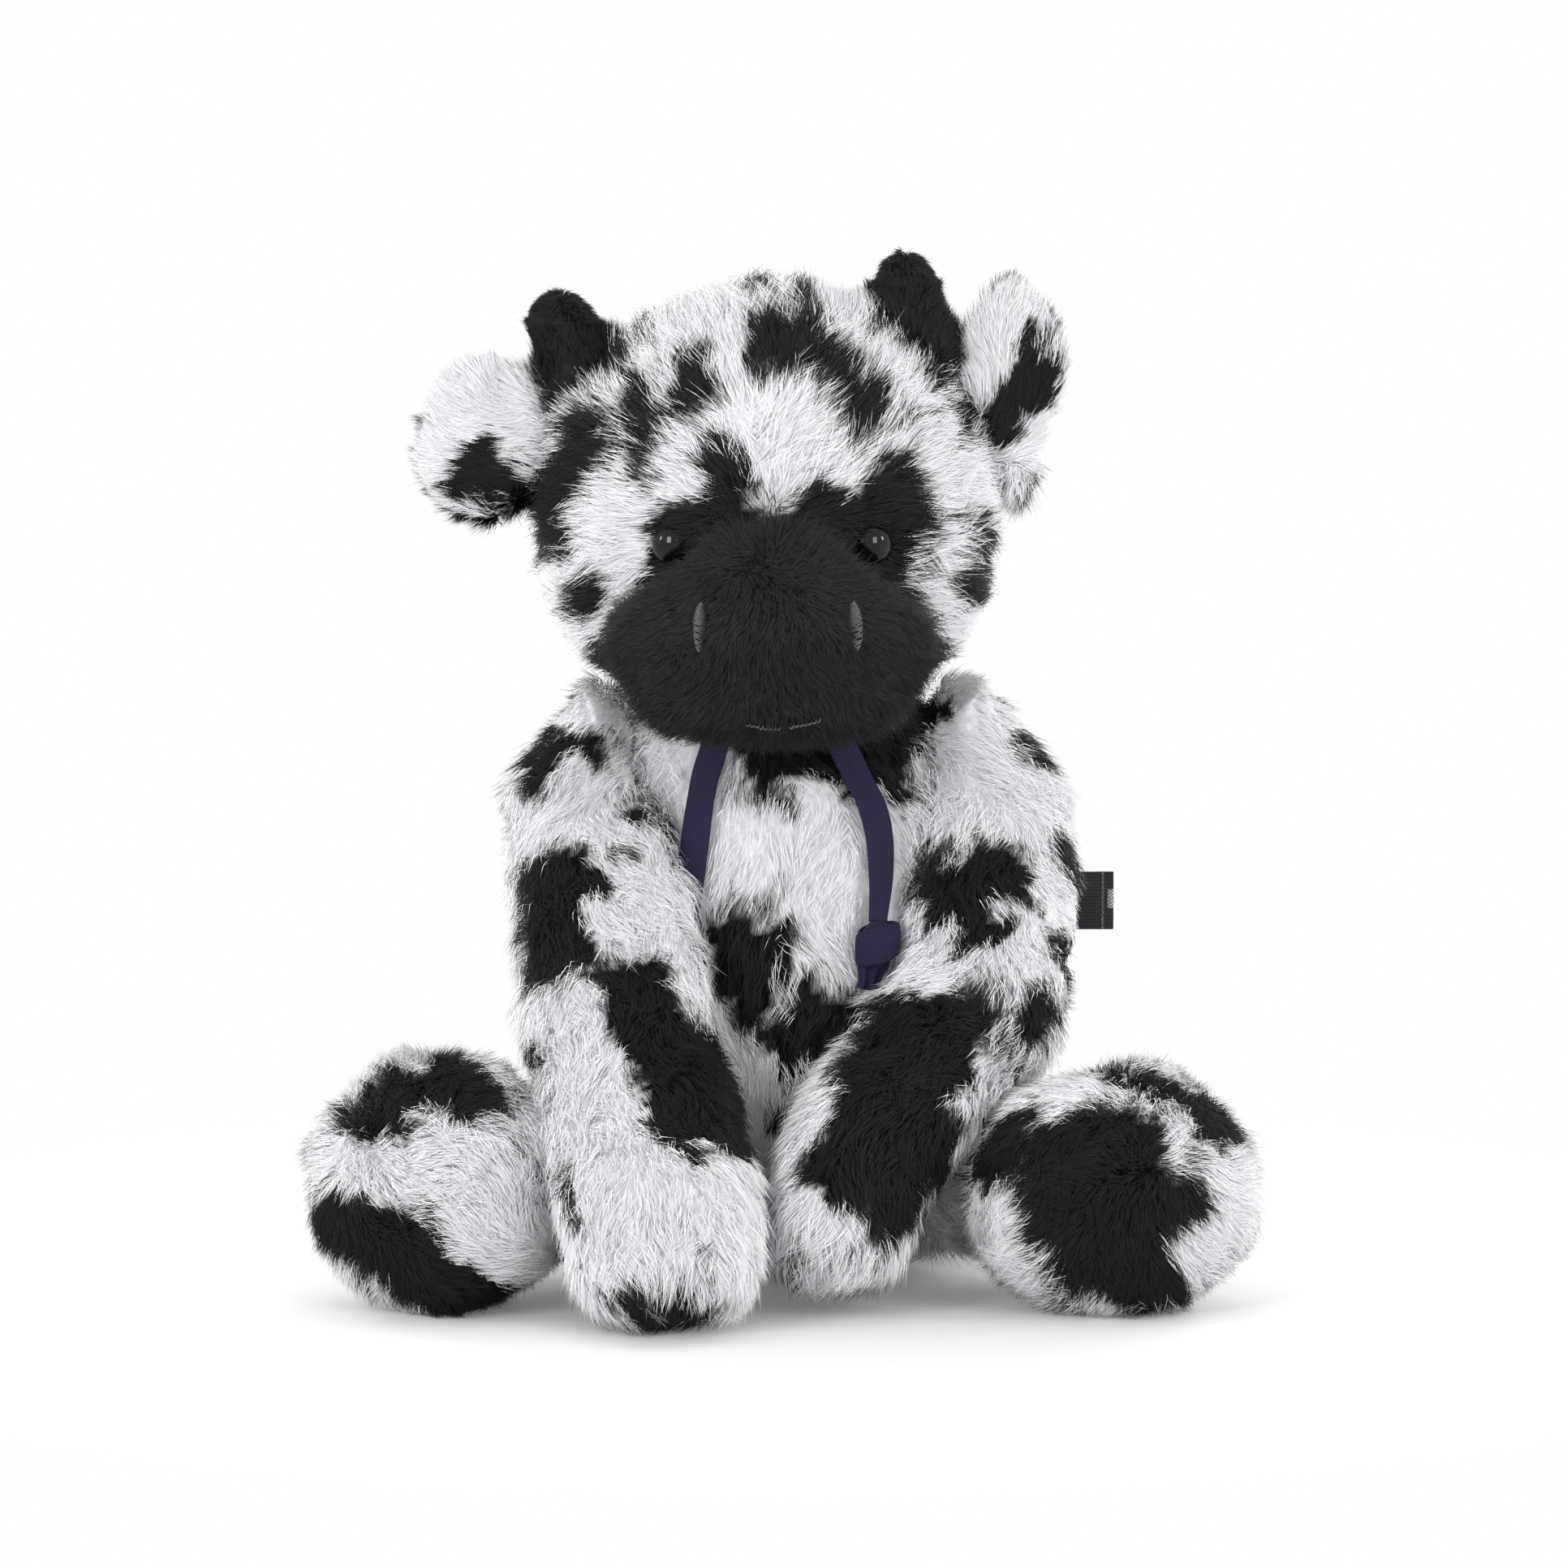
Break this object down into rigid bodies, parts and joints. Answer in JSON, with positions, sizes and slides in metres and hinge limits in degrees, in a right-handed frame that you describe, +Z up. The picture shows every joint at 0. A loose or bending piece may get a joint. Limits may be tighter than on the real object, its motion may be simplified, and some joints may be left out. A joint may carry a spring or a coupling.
{
  "type": "plush cow",
  "caption": "Seated plush cow in spotted long-haired fur, with a black muzzle, short horns, soft ears, sewn-on arms and feet, and a knotted neck cord.",
  "frame": {"origin": "on the flat under the body that the cow sits on", "axes": "+Z up along the body, -Y the way the face looks, +X to the cow's own left"},
  "size_m": [0.2853, 0.2219, 0.3173],
  "materials": {
    "spotted_fur": "matte",
    "black_pile": "matte",
    "stuffing": "matte",
    "pellet_cloth": "matte",
    "eye_gloss": "polished",
    "washer_plastic": "satin",
    "grey_thread": "satin",
    "navy_cord": "matte",
    "label_weave": "matte"
  },
  "bodies": {
    "torso": {"body_skin": "spotted_fur", "body_filling": "stuffing", "seat_pellet_bag": "pellet_cloth", "neck_cord": "navy_cord", "cord_left": "navy_cord", "cord_right": "navy_cord", "cord_knot_left": "navy_cord", "cord_knot_right": "navy_cord", "side_label": "label_weave"},
    "head": {"head_skin": "spotted_fur", "head_filling": "stuffing", "muzzle_skin": "black_pile", "muzzle_filling": "stuffing", "eye_left": "eye_gloss", "eye_right": "eye_gloss", "eye_washer_left": "washer_plastic", "eye_washer_right": "washer_plastic", "nostril_left": "grey_thread", "nostril_right": "grey_thread", "mouth_stitch": "grey_thread", "horn_left": "black_pile", "horn_right": "black_pile", "horn_filling_left": "stuffing", "horn_filling_right": "stuffing"},
    "left_ear": {"ear_outer_left": "spotted_fur", "ear_lining_left": "spotted_fur"},
    "right_ear": {"ear_outer_right": "spotted_fur", "ear_lining_right": "spotted_fur"},
    "left_arm": {"arm_left": "spotted_fur", "arm_filling_left": "stuffing"},
    "right_arm": {"arm_right": "spotted_fur", "arm_filling_right": "stuffing"},
    "left_leg": {"leg_left": "spotted_fur", "leg_filling_left": "stuffing", "foot_left": "spotted_fur", "foot_filling_left": "stuffing"},
    "right_leg": {"leg_right": "spotted_fur", "leg_filling_right": "stuffing", "foot_right": "spotted_fur", "foot_filling_right": "stuffing"},
    "tail_body": {"tail": "black_pile", "tail_tuft": "black_pile"}
  },
  "joints": [
    {"name": "head_nod", "type": "hinge", "parent": "torso", "child": "head", "pos_m": [0, 0.002, 0.16], "axis": [1, 0, 0], "range_deg": [-15, 6], "stiffness_Nm_per_rad": 0.8},
    {"name": "ear_left_droop", "type": "hinge", "parent": "head", "child": "left_ear", "pos_m": [0.06417, -0.008, 0.2493], "axis": [0, 1, 0], "range_deg": [0, 25], "stiffness_Nm_per_rad": 0.03},
    {"name": "ear_right_droop", "type": "hinge", "parent": "head", "child": "right_ear", "pos_m": [-0.07475, -0.008, 0.2465], "axis": [0, -1, 0], "range_deg": [0, 30], "stiffness_Nm_per_rad": 0.05},
    {"name": "arm_left_lift", "type": "hinge", "parent": "torso", "child": "left_arm", "pos_m": [0.06012, -0.00708, 0.1552], "axis": [-1, 0, 0], "range_deg": [0, 35], "stiffness_Nm_per_rad": 0.1},
    {"name": "arm_right_lift", "type": "hinge", "parent": "torso", "child": "right_arm", "pos_m": [-0.06012, -0.00708, 0.1552], "axis": [-1, 0, 0], "range_deg": [0, 35], "stiffness_Nm_per_rad": 0.1},
    {"name": "leg_left_spread", "type": "hinge", "parent": "torso", "child": "left_leg", "pos_m": [0.044, -0.014, 0.034], "axis": [0, 0, 1], "range_deg": [0, 25], "stiffness_Nm_per_rad": 0.2},
    {"name": "leg_right_spread", "type": "hinge", "parent": "torso", "child": "right_leg", "pos_m": [-0.044, -0.014, 0.034], "axis": [0, 0, -1], "range_deg": [0, 25], "stiffness_Nm_per_rad": 0.2},
    {"name": "tail_sway", "type": "hinge", "parent": "torso", "child": "tail_body", "pos_m": [0, 0.06404, 0.03678], "axis": [0, 0, -1], "range_deg": [-15, 30], "stiffness_Nm_per_rad": 0.01}
  ]
}
